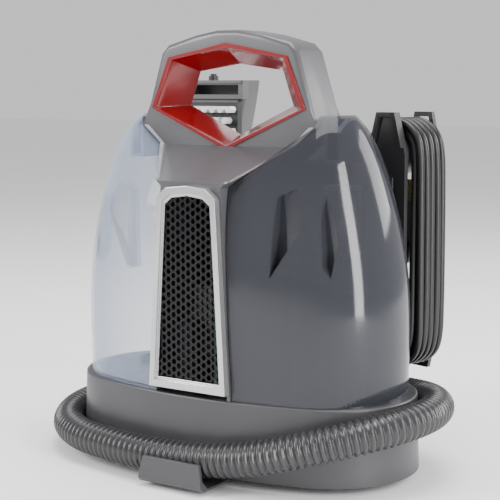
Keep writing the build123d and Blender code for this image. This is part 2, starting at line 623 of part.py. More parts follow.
# ---------------------------------------------------------------- mains cord lead and plug
def tube(points, d):
    """Round tube along straight runs joined by tangent arcs."""
    pts = [Vector(*p) for p in points]
    runs = [(b - a).length for a, b in zip(pts, pts[1:])]
    radii = []
    for i in range(1, len(pts) - 1):
        turn = (pts[i] - pts[i - 1]).get_angle(pts[i + 1] - pts[i])
        radii.append(0.45 * min(runs[i - 1], runs[i]) / math.tan(math.radians(turn) / 2))
    line = FilletPolyline(*pts, radius=radii)
    start = Plane(origin=pts[0], z_dir=pts[1] - pts[0])
    body = sweep(start * Circle(d / 2), line)
    share = body.volume / (math.pi * d * d / 4 * line.length)
    print("runs", [round(r) for r in runs], "radii", [round(r) for r in radii])
    print("tube length", round(line.length, 1), "least radius", round(min(radii), 1), "volume share", round(share, 4))
    return body


gd = Vector(*GLAND_DIR).normalized()
g0 = Vector(*GLAND_P)
gland = cone(tuple(g0 - gd * 4), 6.0, 4.3, 12.0, tuple(gd))
gland = gland - cyl(tuple(g0 - gd * 9), CORD_D / 2 + 0.35, 40, tuple(gd))
rear_half = rear_half - cyl(tuple(g0 - gd * 8), 6.6, 30, tuple(gd))
collar = cyl(tuple(g0 - gd * 3.4), 6.5, 3.0, tuple(gd)) - cyl(tuple(g0 - gd * 9), CORD_D / 2 + 0.35, 40, tuple(gd))
save("strain_relief", largest(gland + collar))
LEAD = [tuple(g0 - gd * 8), tuple(g0 + gd * 14), (80.5, 84.0, 186.0)]
lead = tube(LEAD, CORD_D)
lead = lead - winding
save("cord_lead", largest(lead))

pm = WRAP_P + AX * (WRAP_LEN / 2)
plug_z = 204.0
plug = Pos(pm.X, pm.Y, plug_z) * Rot(0, 0, math.degrees(WRAP_TURN)) * Box(24, 20, 34)
plug = fillet(plug.edges().filter_by(Axis.Z), 5.0)
plug = plug + cone((pm.X, pm.Y, plug_z - 17 - 20), 4.2, 8.0, 20.5)
pins = None
for s in (-5.0, 5.0):
    q = pm + AX * s
    pin = Pos(q.X, q.Y, plug_z + 17 + 8) * Rot(0, 0, math.degrees(WRAP_TURN)) * Box(1.6, 6.2, 18)
    pins = pin if pins is None else pins + pin
plug = plug - pins
save("plug_body", largest(plug))
save("plug_pins", pins)

# ---------------------------------------------------------------- spray tool at the back
TOOL_X, TOOL_Y = -92.0, 104.0
HEAD_Z0, HEAD_Z1 = REAR_TOP - 18.0, REAR_TOP + 72.0
TOOL_LOW = 134.0


def rrect(w, d, r, z, dy=0.0):
    """Rounded rectangle face at height z on the tool's axis."""
    return Pos(TOOL_X, TOOL_Y + dy, z) * RectangleRounded(w, d, r)


head_out = loft([rrect(36, 36, 14, HEAD_Z0), rrect(58, 32, 9, HEAD_Z0 + 38), rrect(78, 26, 5, HEAD_Z1, 1.0)])
head_in = loft([rrect(31, 31, 12, HEAD_Z0 - 0.5), rrect(53, 27, 7, HEAD_Z0 + 38), rrect(73, 21, 4, HEAD_Z1 - 3, 1.0)])
mouth = box(TOOL_X - 34, TOOL_X + 34, TOOL_Y - 30, TOOL_Y - 6, HEAD_Z1 - 13, HEAD_Z1 - 4)
lip = box(TOOL_X - 39, TOOL_X + 39, TOOL_Y - 18, TOOL_Y - 8, HEAD_Z1 - 17, HEAD_Z1)
lip = lip + box(TOOL_X - 38, TOOL_X + 38, TOOL_Y - 19.5, TOOL_Y - 16, HEAD_Z1 - 2.5, HEAD_Z1)
head = (head_out + lip) - head_in - mouth
save("tool_head", largest(head))

BRUSH_Z0, BRUSH_Z1 = REAR_TOP + 18.0, REAR_TOP + 52.0
brush_y = TOOL_Y - 19.0
brush = box(TOOL_X - 36, TOOL_X + 36, brush_y - 3.0, brush_y + 4.0, BRUSH_Z0, BRUSH_Z1)
brush = brush - head_out
save("brush_plate", largest(brush))
tufts = []
for r in range(3):
    for c in range(8 - r % 2):
        x = TOOL_X - 31.5 + 9.0 * c + (4.5 if r % 2 else 0.0)
        z = BRUSH_Z1 - 6.5 - 10.0 * r
        t = Pos(x, brush_y - 3.0, z) * Rot(90, 0, 0) * extrude(RegularPolygon(3.3, 6), 9)
        tufts.append(t.solids()[0])
save("brush_tufts", Compound(children=tufts))

grip = cyl((TOOL_X, TOOL_Y, TOOL_LOW + 14), 16.5, HEAD_Z0 - TOOL_LOW - 14)
grip = grip + cyl((TOOL_X, TOOL_Y, HEAD_Z0 - 5), 19.5, 5.0)
grip = grip - cyl((TOOL_X, TOOL_Y, TOOL_LOW), 12.0, 200)
TRIG_Z0, TRIG_Z1 = 174.0, 222.0
trig_cut = box(TOOL_X - 6.3, TOOL_X + 6.3, TOOL_Y + 9, TOOL_Y + 30, TRIG_Z0 - 2, TRIG_Z1 + 3)
grip = grip - trig_cut
PIVOT_Y = TOOL_Y + 14.0
PIVOT_Z = TRIG_Z1 - 4.0
trig_pin = cyl((TOOL_X - 8.0, PIVOT_Y, PIVOT_Z), 1.5, 16.0, (1, 0, 0))
trig_ears = box(TOOL_X - 9.5, TOOL_X - 6.3, TOOL_Y + 10, TOOL_Y + 18, PIVOT_Z - 5, PIVOT_Z + 5)
trig_ears = trig_ears + box(TOOL_X + 6.3, TOOL_X + 9.5, TOOL_Y + 10, TOOL_Y + 18, PIVOT_Z - 5, PIVOT_Z + 5)
grip = (grip + trig_ears) - trig_pin
save("tool_grip", largest(grip))
save("trigger_pin", trig_pin)
tr = [
    (TOOL_Y + 10.5, TRIG_Z1 + 1), (TOOL_Y + 18.5, TRIG_Z1 + 1), (TOOL_Y + 22.5, TRIG_Z1 - 20),
    (TOOL_Y + 24.0, TRIG_Z0 + 6), (TOOL_Y + 21.0, TRIG_Z0 + 4), (TOOL_Y + 18.5, TRIG_Z1 - 22), (TOOL_Y + 10.5, TRIG_Z1 - 9),
]
tface = flat([(TOOL_X - 5.8, y, z) for y, z in tr])
trigger = Solid.extrude(tface, Vector(11.6, 0, 0))
trigger = trigger - cyl((TOOL_X - 9, PIVOT_Y, PIVOT_Z), 1.5 + RUN, 20.0, (1, 0, 0))
save("trigger", largest(trigger))
CUFF_R = 18.5
cuff = cyl((TOOL_X, TOOL_Y, TOOL_LOW), CUFF_R, 14.0) - cyl((TOOL_X, TOOL_Y, TOOL_LOW - 1), HOSE_D / 2 + FIT, 11.0)
cuff = cuff - cyl((TOOL_X, TOOL_Y, TOOL_LOW - 2), 11.0, 30)
for i in range(12):
    a = math.radians(30 * i)
    cuff = cuff - cyl((TOOL_X + 18.9 * math.cos(a), TOOL_Y + 18.9 * math.sin(a), TOOL_LOW - 1), 1.2, 20)
save("tool_cuff", cuff)
spray = cyl((TOOL_X, TOOL_Y - 8.0, HEAD_Z1), 4.5, 4.0) + cyl((TOOL_X, TOOL_Y - 8.0, HEAD_Z1 + 4), 3.0, 2.0)
save("spray_tip", spray)


# cradle for the tool on the rear housing
CRADLE_Z = TOOL_LOW - 4.0


def tool_cradle():
    """Cup open at the back that the tool's cuff drops into, with an arm to the housing."""
    ring = cyl((TOOL_X, TOOL_Y, CRADLE_Z), 22.5, 18.0) - cyl((TOOL_X, TOOL_Y, TOOL_LOW), CUFF_R + FIT, 40)
    ring = ring - cyl((TOOL_X, TOOL_Y, CRADLE_Z - 1), HOSE_D / 2 + 0.6, 10)
    arm = box(TOOL_X + 4, -REAR_HALF + 14, 72, 80.5, CRADLE_Z, CRADLE_Z + 16)
    arm = arm + box(TOOL_X + 4, TOOL_X + 12, 72, TOOL_Y - 14, CRADLE_Z, CRADLE_Z + 16)
    arm = arm - cyl((TOOL_X, TOOL_Y, CRADLE_Z - 1), CUFF_R + FIT + 1.0, 40)
    return (ring + arm) - box(TOOL_X - 14.6, TOOL_X + 14.6, TOOL_Y, TOOL_Y + 40, 100, 200)


cradle = tool_cradle()
rear_solid = largest(rear_half)
rear_solid = rear_solid - box(-REAR_HALF - 5, -REAR_HALF + 14, 72, 80.5, CRADLE_Z, CRADLE_Z + 16)
save("tool_cradle", largest(cradle))

# ---------------------------------------------------------------- hose
PORT_X, PORT_Y, PORT_Z = -6.0, BASE_MID_Y + BASE_HALF_Y + HOSE_D / 2 + PORT_GAP, 48.0
port = cyl((PORT_X, PORT_Y, PORT_Z), PORT_R, 16.0, (1, 0, 0)) - cyl((PORT_X + 5, PORT_Y, PORT_Z), HOSE_D / 2, 16, (1, 0, 0))
port = port + cyl((PORT_X - 18, PORT_Y, PORT_Z), PORT_R, 18.0, (1, 0, 0))
port = port + box(PORT_X - 18, PORT_X, BASE_MID_Y + BASE_HALF_Y - 4, PORT_Y, PORT_Z - 14, PORT_Z + 14)
port = port - tub


def around(a_deg, grow):
    """Point on the oval round the base, grown outward, at a rough angle from +X."""
    a, b, r = BASE_HALF_X + grow, BASE_HALF_Y + grow, BASE_END_R + grow
    c = a - r
    k = (c * c - (b - r) ** 2) / (2 * (b - r))
    t = math.radians(a_deg)
    ct, st = math.cos(t), math.sin(t)
    uy = k / (b + k - r)
    if abs(st) <= uy:
        sx = 1.0 if ct > 0 else -1.0
        return (sx * c + r * ct, BASE_MID_Y + r * st)
    big = b + k
    sy = 1.0 if st > 0 else -1.0
    return (big * ct, BASE_MID_Y - sy * k + big * st)


HOSE_OUT = HOSE_D / 2 + 3.2
HOSE_STEPS = [
    (81.5, 48.5), (73.0, 51.0), (46.0, 54.5), (16.0, 57.5), (-14.0, 57.5), (-44.0, 52.0), (-73.0, 41.0),
    (-80.5, 29.0), (-87.0, 22.5), (-94.0, 20.5), (-101.0, 20.5), (-109.0, 20.5), (-136.0, 21.5), (-166.0, 24.0),
    (-196.0, 27.0),
]
HOSE_RISE_X = (54.0 - BASE_HALF_X + TOOL_X - 11.0) / 2    # between the base's end and the tool
hose_pts = [(PORT_X + 5.2, PORT_Y, PORT_Z)]
for a_deg, z in HOSE_STEPS:
    x, y = around(a_deg, HOSE_OUT)
    hose_pts.append((x, y, z))
hose_pts = hose_pts + [
    (6.0 - BASE_HALF_X, 71.0, 34.0), (33.0 - BASE_HALF_X, 94.5, 53.0), (HOSE_RISE_X, 102.5, 80.0),
    (TOOL_X, TOOL_Y, 112.0),
    (TOOL_X, TOOL_Y, TOOL_LOW + 9.5),
]
for i, p in enumerate(hose_pts):
    print("hose point", i, [round(c, 1) for c in p])
hose = tube(hose_pts, HOSE_D)
save("hose", hose)
save("hose_port", largest(port - hose))

hs = None
for x in (-40.0, 40.0):
    for z in (88.0, 215.0):
        s = cyl((x, REAR_BACK, z), 3.5, 2.2, (0, 1, 0)) + cyl((x, REAR_BACK + 1, z), 1.5, 9.0, (0, -1, 0))
        s = s - box(x - 2.8, x + 2.8, REAR_BACK + 1.2, REAR_BACK + 4, z - 0.4, z + 0.4)
        hs = s if hs is None else hs + s
save("housing_screws", hs)
save("housing_rear", largest(rear_solid - hs))
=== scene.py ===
"""Looks of a portable spot extractor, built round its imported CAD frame."""

import json
import logging
import math
from dataclasses import dataclass, field
from enum import Enum
from typing import Dict, List, Sequence, Tuple, Union

import bmesh
import bpy
import numpy as np
from mathutils import Euler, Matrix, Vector


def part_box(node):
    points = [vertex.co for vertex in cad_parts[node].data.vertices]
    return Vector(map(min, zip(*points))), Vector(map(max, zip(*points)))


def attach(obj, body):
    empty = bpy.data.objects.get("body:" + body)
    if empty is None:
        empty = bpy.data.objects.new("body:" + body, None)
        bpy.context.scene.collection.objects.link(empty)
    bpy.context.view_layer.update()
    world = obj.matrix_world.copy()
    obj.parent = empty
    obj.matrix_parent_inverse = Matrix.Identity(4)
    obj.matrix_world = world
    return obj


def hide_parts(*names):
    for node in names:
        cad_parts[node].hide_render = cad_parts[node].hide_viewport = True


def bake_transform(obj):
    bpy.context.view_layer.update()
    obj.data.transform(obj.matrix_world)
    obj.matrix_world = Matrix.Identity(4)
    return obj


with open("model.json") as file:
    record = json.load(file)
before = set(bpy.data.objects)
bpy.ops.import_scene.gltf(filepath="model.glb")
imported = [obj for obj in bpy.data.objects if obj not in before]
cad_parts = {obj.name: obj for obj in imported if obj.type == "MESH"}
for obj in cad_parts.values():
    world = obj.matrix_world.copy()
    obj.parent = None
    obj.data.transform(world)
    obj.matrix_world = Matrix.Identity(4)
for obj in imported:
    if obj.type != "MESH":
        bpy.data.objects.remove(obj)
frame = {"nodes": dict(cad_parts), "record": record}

log = logging.getLogger("extractor")
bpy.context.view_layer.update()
MM = 0.001
MACHINE = "machine"
TOOL = "tool_body"
DRIFT = 0.07                # how far a colour wanders either way
MERGE = 0.02 * MM           # points closer than this are one
FLAT_DEG = 0.6              # faces that meet flatter than this are one
Colour = Tuple[float, float, float]
Point = Tuple[float, float, float]


class Grain(Enum):
    """How a skin is broken up: features per metre, depth in metres, strength and stretch."""

    SPARK = (1800.0, 0.00006, 0.28, (1, 1, 1))
    POLISHED = (60.0, 0.00005, 0.06, (1, 1, 1))
    BRUSHED = (700.0, 0.00003, 0.25, (1, 1, 0.04))
    RUBBERY = (900.0, 0.00008, 0.3, (1, 1, 1))


class Edge(Enum):
    """How far the edges of a moulding are rounded, in millimetres."""

    CRISP = 0.5
    ROUND = 3.0


# ------------------------------------------------------------------ finishes
class Nodes:
    """Small helper round a material's node tree."""

    def __init__(self, name: str) -> None:
        """Make an empty material with a Principled shader.

        Args:
            name: the material's name.
        """
        self.mat = bpy.data.materials.new(name)
        self.mat.use_nodes = True
        self.tree = self.mat.node_tree
        self.bsdf = self.tree.nodes["Principled BSDF"]
        self.coords = self.tree.nodes.new("ShaderNodeTexCoord").outputs["Object"]

    def link(self, a: bpy.types.NodeSocket, b: bpy.types.NodeSocket) -> None:
        """Join socket a to socket b."""
        self.tree.links.new(a, b)

    def scaled(self, scale: Point) -> bpy.types.NodeSocket:
        """Object coordinates stretched by scale.

        Args:
            scale: factor along each axis.

        Returns:
            The Mapping node's vector output.
        """
        node = self.tree.nodes.new("ShaderNodeMapping")
        node.inputs["Scale"].default_value = scale
        self.link(self.coords, node.inputs["Vector"])
        return node.outputs["Vector"]

    def noise(self, size: float, detail: float = 3.0, stretch: Point = (1, 1, 1)) -> bpy.types.NodeSocket:
        """Noise with features about one over size across.

        Args:
            size: features per metre.
            detail: octaves of the noise.
            stretch: extra factor along each axis.

        Returns:
            The noise value's socket.
        """
        node = self.tree.nodes.new("ShaderNodeTexNoise")
        node.inputs["Scale"].default_value = size
        node.inputs["Detail"].default_value = detail
        self.link(self.scaled(stretch), node.inputs["Vector"])
        return node.outputs["Fac"]

    def spread(self, value: bpy.types.NodeSocket, low: float, high: float) -> bpy.types.NodeSocket:
        """Map a noise value from 0.3..0.7 to low..high.

        Args:
            value: the noise.
            low: result at 0.3.
            high: result at 0.7.

        Returns:
            The mapped value's socket.
        """
        node = self.tree.nodes.new("ShaderNodeMapRange")
        node.inputs["From Min"].default_value = 0.3
        node.inputs["From Max"].default_value = 0.7
        node.inputs["To Min"].default_value = low
        node.inputs["To Max"].default_value = high
        self.link(value, node.inputs["Value"])
        return node.outputs["Result"]

    def tint(self, value: bpy.types.NodeSocket, dark: Colour, light: Colour) -> None:
        """Colour the skin between dark and light by value."""
        node = self.tree.nodes.new("ShaderNodeMix")
        node.data_type = "RGBA"
        node.inputs["A"].default_value = (*dark, 1)
        node.inputs["B"].default_value = (*light, 1)
        self.link(value, node.inputs["Factor"])
        self.link(node.outputs["Result"], self.bsdf.inputs["Base Color"])

    def bump(self, value: bpy.types.NodeSocket, depth: float, strength: float) -> None:
        """Raise the skin by value times depth, in metres."""
        node = self.tree.nodes.new("ShaderNodeBump")
        node.inputs["Distance"].default_value = depth
        node.inputs["Strength"].default_value = strength
        self.link(value, node.inputs["Height"])
        self.link(node.outputs["Normal"], self.bsdf.inputs["Normal"])


@dataclass(frozen=True)
class Skin:
    """An opaque moulded, rubber or metal finish."""

    name: str
    colour: Colour
    rough: float
    grain: Grain = Grain.SPARK
    metal: float = 0.0
    coat: float = 0.0

    def material(self) -> bpy.types.Material:
        """Build the material: slow colour drift, grain bump and uneven gloss.

        Returns:
            The finished material.
        """
        n = Nodes(self.name)
        n.bsdf.inputs["Metallic"].default_value = self.metal
        n.bsdf.inputs["Coat Weight"].default_value = self.coat
        n.bsdf.inputs["Coat Roughness"].default_value = 0.12
        drift = n.spread(n.noise(9.0, 2.0), 0.0, 1.0)
        dark = tuple(c * (1 - DRIFT) for c in self.colour)
        light = tuple(min(1.0, c * (1 + DRIFT)) for c in self.colour)
        n.tint(drift, dark, light)
        size, depth, strength, stretch = self.grain.value
        n.bump(n.noise(size, 3.0, stretch), depth, strength)
        patch = n.noise(35.0, 4.0)
        n.link(n.spread(patch, self.rough * 0.85, self.rough * 1.15), n.bsdf.inputs["Roughness"])
        return n.mat


@dataclass(frozen=True)
class ClearWall:
    """A see-through moulded wall that is denser where it is seen edge on."""

    name: str
    colour: Colour
    face: float
    rim: float
    rough: float
    # alpha factor above the shoulder; below one it paints a reflection that lightens the sloped top
    shoulder_reflection_alpha: float = 1.0
    shoulder_from: float = 0.20
    shoulder_to: float = 0.29

    def material(self) -> bpy.types.Material:
        """Build the material: alpha grows from face to rim by the facing weight.

        Between the heights shoulder_from and shoulder_to it drops to the shoulder factor times that. This
        is a painted reflection that lightens the sloped top as if it mirrored the white surroundings.

        Returns:
            The finished material.
        """
        n = Nodes(self.name)
        n.mat.surface_render_method = "BLENDED"
        n.bsdf.inputs["IOR"].default_value = 1.5
        n.tint(n.spread(n.noise(14.0, 2.0), 0.0, 1.0), tuple(c * 0.95 for c in self.colour), self.colour)
        n.link(n.spread(n.noise(40.0, 3.0), self.rough * 0.8, self.rough * 1.3), n.bsdf.inputs["Roughness"])
        n.bump(n.noise(16.0, 1.0), 0.0004, 0.04)
        facing = n.tree.nodes.new("ShaderNodeLayerWeight")
        facing.inputs["Blend"].default_value = 0.35
        rng = n.tree.nodes.new("ShaderNodeMapRange")
        rng.inputs["To Min"].default_value = self.face
        rng.inputs["To Max"].default_value = self.rim
        n.link(facing.outputs["Facing"], rng.inputs["Value"])
        split = n.tree.nodes.new("ShaderNodeSeparateXYZ")
        n.link(n.coords, split.inputs["Vector"])
        # painted reflection: above the shoulder the wall lets more background through, so the sloped top
        # reads lighter
        reflection_fade = n.tree.nodes.new("ShaderNodeMapRange")
        reflection_fade.interpolation_type = "SMOOTHSTEP"
        reflection_fade.inputs["From Min"].default_value = self.shoulder_from
        reflection_fade.inputs["From Max"].default_value = self.shoulder_to
        reflection_fade.inputs["To Min"].default_value = 1.0
        reflection_fade.inputs["To Max"].default_value = self.shoulder_reflection_alpha
        n.link(split.outputs["Z"], reflection_fade.inputs["Value"])
        both = n.tree.nodes.new("ShaderNodeMath")
        both.operation = "MULTIPLY"
        n.link(rng.outputs["Result"], both.inputs[0])
        n.link(reflection_fade.outputs["Result"], both.inputs[1])
        n.link(both.outputs["Value"], n.bsdf.inputs["Alpha"])
        return n.mat


SKINS: Dict[str, Union[Skin, ClearWall]] = {
    "base_grey": Skin("base_grey_plastic", (0.046, 0.044, 0.049), 0.40, Grain.SPARK, coat=0.05),
    "housing_grey": Skin(
        "housing_grey_paint", (0.078, 0.076, 0.083), 0.34, Grain.SPARK, metal=0.25, coat=0.1),
    "liner_red": Skin("red_gloss_lining", (0.170, 0.0015, 0.003), 0.16, Grain.POLISHED, coat=0.5),
    "silver_trim": Skin("silver_paint", (0.50, 0.49, 0.50), 0.22, Grain.SPARK, metal=0.75, coat=0.2),
    "mesh_black": Skin("black_grille_plastic", (0.007, 0.006, 0.008), 0.26, Grain.SPARK),
    "rubber_black": Skin("black_rubber", (0.022, 0.022, 0.024), 0.7, Grain.RUBBERY),
    "steel": Skin("zinc_steel", (0.56, 0.56, 0.58), 0.32, Grain.BRUSHED, metal=1.0),
    "white_plastic": Skin("milky_plastic", (0.70, 0.71, 0.73), 0.3, Grain.POLISHED),
    "grip_grey": Skin("blue_grey_insert", (0.10, 0.115, 0.15), 0.3, Grain.POLISHED),
    "float_white": Skin("float_plastic", (0.78, 0.78, 0.76), 0.3, Grain.POLISHED),
    "cap_dark": Skin("dark_cap_plastic", (0.018, 0.018, 0.02), 0.4),
    "motor_metal": Skin("motor_steel", (0.5, 0.5, 0.5), 0.36, Grain.BRUSHED, metal=1.0),
    "pump_black": Skin("glass_filled_plastic", (0.035, 0.035, 0.04), 0.5),
    "board_green": Skin("board_lacquer", (0.02, 0.13, 0.06), 0.3, Grain.POLISHED),
    "switch_red": Skin("rocker_red", (0.38, 0.015, 0.015), 0.25, Grain.POLISHED, coat=0.3),
    "wrap_grey": Skin("cord_wrap_plastic", (0.022, 0.022, 0.024), 0.42),
    "cord_black": Skin("cord_jacket", (0.008, 0.008, 0.009), 0.36, Grain.RUBBERY),
    "brass_pins": Skin("plug_brass", (0.68, 0.55, 0.28), 0.25, Grain.BRUSHED, metal=1.0),
    "tool_grey": Skin("tool_grey_plastic", (0.09, 0.09, 0.093), 0.32),
    "tool_black": Skin("tool_black_plastic", (0.010, 0.011, 0.012), 0.35),
    "bristle_white": Skin("nylon_bristle", (0.78, 0.78, 0.76), 0.55, Grain.RUBBERY),
    "hose_grey": Skin("hose_grey_plastic", (0.032, 0.032, 0.034), 0.26, Grain.POLISHED),
    "clean_clear": ClearWall("clear_tank_wall", (0.36, 0.42, 0.55), 0.09, 0.66, 0.05),
    # the smoked wall's shoulder factor paints a lighter reflection on its sloped top
    "smoke_clear": ClearWall("smoked_tank_wall", (0.034, 0.035, 0.044), 0.82, 0.97, 0.08, shoulder_reflection_alpha=0.62),
}
MADE: Dict[str, bpy.types.Material] = {}


def finish_of(slot: str) -> bpy.types.Material:
    """Material for one of the record's slots, made once."""
    if slot not in MADE:
        MADE[slot] = SKINS[slot].material()
    return MADE[slot]


def slot_of(node: str) -> str:
    """Material slot that the record gives a node."""
    for part in frame["record"]["subparts"]:
        if part["node"] == node:
            return part["material_slot"]
    raise KeyError(node)


# ------------------------------------------------------------------ mesh helpers
def new_piece(name: str, verts: np.ndarray, faces: Sequence[Sequence[int]], slot: str) -> bpy.types.Object:
    """Make a mesh object from arrays.

    Args:
        name: object name.
        verts: n by 3 points in metres.
        faces: lists of vertex numbers, outward by the right-hand rule.
        slot: the record's material slot.

    Returns:
        The object, linked and finished in the slot's material.
    """
    mesh = bpy.data.meshes.new(name)
    mesh.from_pydata(verts.tolist(), [], [list(f) for f in faces])
    mesh.update()
    mesh.materials.append(finish_of(slot))
    obj = bpy.data.objects.new(name, mesh)
    bpy.context.scene.collection.objects.link(obj)
    return obj


def grid_faces(rows: int, cols: int, wrap: bool) -> np.ndarray:
    """Quads of a rows by cols grid, whose columns may close on themselves.

    Args:
        rows: points along the first parameter.
        cols: points along the second parameter.
        wrap: whether the last column joins the first.

    Returns:
        One row of four vertex numbers per quad.
    """
    i = np.arange(rows - 1)[:, None]
    j = np.arange(cols if wrap else cols - 1)[None, :]
    k = (j + 1) % cols
    quads = [i * cols + j, i * cols + k, (i + 1) * cols + k, (i + 1) * cols + j]
    return np.stack([np.broadcast_to(q, (rows - 1, j.shape[1])) for q in quads], -1).reshape(-1, 4)


def softened(node: str, edge: Edge, body: str, angle: float = 32.0) -> bpy.types.Object:
    """Copy a CAD node with rounded edges, to stand for it.

    Args:
        node: the CAD node.
        edge: how far its edges are rounded.
        body: the body that it rides on.
        angle: edges sharper than this, in degrees, are rounded.

    Returns:
        The rounded copy.
    """
    mesh = frame["nodes"][node].data.copy()
    work = bmesh.new()
    work.from_mesh(mesh)
    bmesh.ops.remove_doubles(work, verts=work.verts, dist=MERGE)
    flat = math.radians(FLAT_DEG)
    bmesh.ops.dissolve_limit(work, angle_limit=flat, verts=work.verts, edges=work.edges)
    work.to_mesh(mesh)
    work.free()
    mesh.shade_smooth()
    mesh.set_sharp_from_angle(angle=math.radians(angle))
    obj = bpy.data.objects.new(node + "_rounded", mesh)
    bpy.context.scene.collection.objects.link(obj)
    mesh.materials.clear()
    mesh.materials.append(finish_of(slot_of(node)))
    bevel = obj.modifiers.new("rounded_edges", "BEVEL")
    bevel.width = edge.value * MM
    bevel.segments = 3
    bevel.limit_method = "ANGLE"
    bevel.angle_limit = math.radians(angle)
    bevel.harden_normals = False
    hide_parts(node)
    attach(obj, body)
    return obj


def spline_points(curve: bpy.types.Object) -> np.ndarray:
    """Points along a curve object's own smooth line, in order."""
    mesh = bpy.data.meshes.new_from_object(curve)
    pts = np.empty(len(mesh.vertices) * 3)
    mesh.vertices.foreach_get("co", pts)
    bpy.data.meshes.remove(mesh)
    return pts.reshape(-1, 3)


def smooth_line(name: str, points: Sequence[Point], resolution: int = 10) -> bpy.types.Object:
    """NURBS curve object through control points given in millimetres.

    Args:
        name: object name.
        points: the route's control points.
        resolution: steps drawn for each point.

    Returns:
        The curve object, without thickness.
    """
    data = bpy.data.curves.new(name, "CURVE")
    data.dimensions = "3D"
    data.resolution_u = resolution
    spline = data.splines.new("NURBS")
    spline.points.add(len(points) - 1)
    flat = np.ones((len(points), 4))
    flat[:, :3] = np.array(points) * MM
    spline.points.foreach_set("co", flat.ravel())
    spline.order_u = 3
    spline.use_endpoint_u = True
    obj = bpy.data.objects.new(name, data)
    bpy.context.scene.collection.objects.link(obj)
    return obj


def run_length(points: np.ndarray) -> float:
    """Length of a line through points."""
    return float(np.linalg.norm(np.diff(points, axis=0), axis=1).sum())


# ------------------------------------------------------------------ camera and studio
@dataclass
class Studio:
    """Camera, pale floor and soft lights."""

    eye: Point = (0.5973, -0.9112, 0.3152)
    turn: float = 33.02
    dip: float = 7.16
    lens: float = 93.0

    def camera(self) -> None:
        """Place the camera in front of the machine's right corner."""
        data = bpy.data.cameras.new("camera")
        data.lens = self.lens
        data.sensor_width = 36.0
        data.clip_end = 30.0
        obj = bpy.data.objects.new("camera", data)
        obj.location = self.eye
        obj.rotation_euler = Euler((math.radians(90 - self.dip), 0, math.radians(self.turn)))
        bpy.context.scene.collection.objects.link(obj)
        bpy.context.scene.camera = obj

    def floor(self) -> None:
        """Lay a large pale floor under the machine."""
        verts = np.array([(-9, -9, 0), (9, -9, 0), (9, 9, 0), (-9, 9, 0)], float)
        mesh = bpy.data.meshes.new("floor")
        mesh.from_pydata(verts.tolist(), [], [(0, 1, 2, 3)])
        n = Nodes("floor_paper")
        n.tint(n.spread(n.noise(3.0, 2.0), 0.0, 1.0), (0.9, 0.9, 0.9), (0.93, 0.93, 0.93))
        n.bsdf.inputs["Roughness"].default_value = 0.8
        mesh.materials.append(n.mat)
        obj = bpy.data.objects.new("floor", mesh)
        bpy.context.scene.collection.objects.link(obj)

    def lamp(self, name: str, where: Point, aim: Point, size: Tuple[float, float], watts: float) -> None:
        """Add one soft rectangular lamp.

        Args:
            name: lamp name.
            where: its place.
            aim: the point it faces.
            size: its width and height in metres.
            watts: its power.
        """
        data = bpy.data.lights.new(name, "AREA")
        data.shape = "RECTANGLE"
        data.size, data.size_y = size
        data.energy = watts
        obj = bpy.data.objects.new(name, data)
        obj.location = where
        obj.rotation_euler = (Vector(aim) - Vector(where)).to_track_quat("-Z", "Y").to_euler()
        bpy.context.scene.collection.objects.link(obj)

    def lights(self) -> None:
        """White surroundings and four soft lamps."""
        world = bpy.data.worlds.new("studio")
        world.use_nodes = True
        world.node_tree.nodes["Background"].inputs["Color"].default_value = (1, 1, 1, 1)
        world.node_tree.nodes["Background"].inputs["Strength"].default_value = 0.8
        bpy.context.scene.world = world
        middle = (0.0, 0.0, 0.18)
        self.lamp("key_left", (-1.1, -1.2, 1.0), middle, (0.8, 1.0), 34.0)
        self.lamp("strip_right", (1.35, -0.35, 0.55), middle, (0.30, 1.2), 22.0)
        self.lamp("top", (0.1, 0.1, 1.7), middle, (1.4, 1.0), 30.0)
        self.lamp("back_right", (1.0, 1.2, 0.8), middle, (0.8, 0.8), 16.0)

    def build(self) -> None:
        """Set up everything that isn't part of the machine."""
        self.camera()
        self.floor()
        self.lights()
        log.info("studio ready")


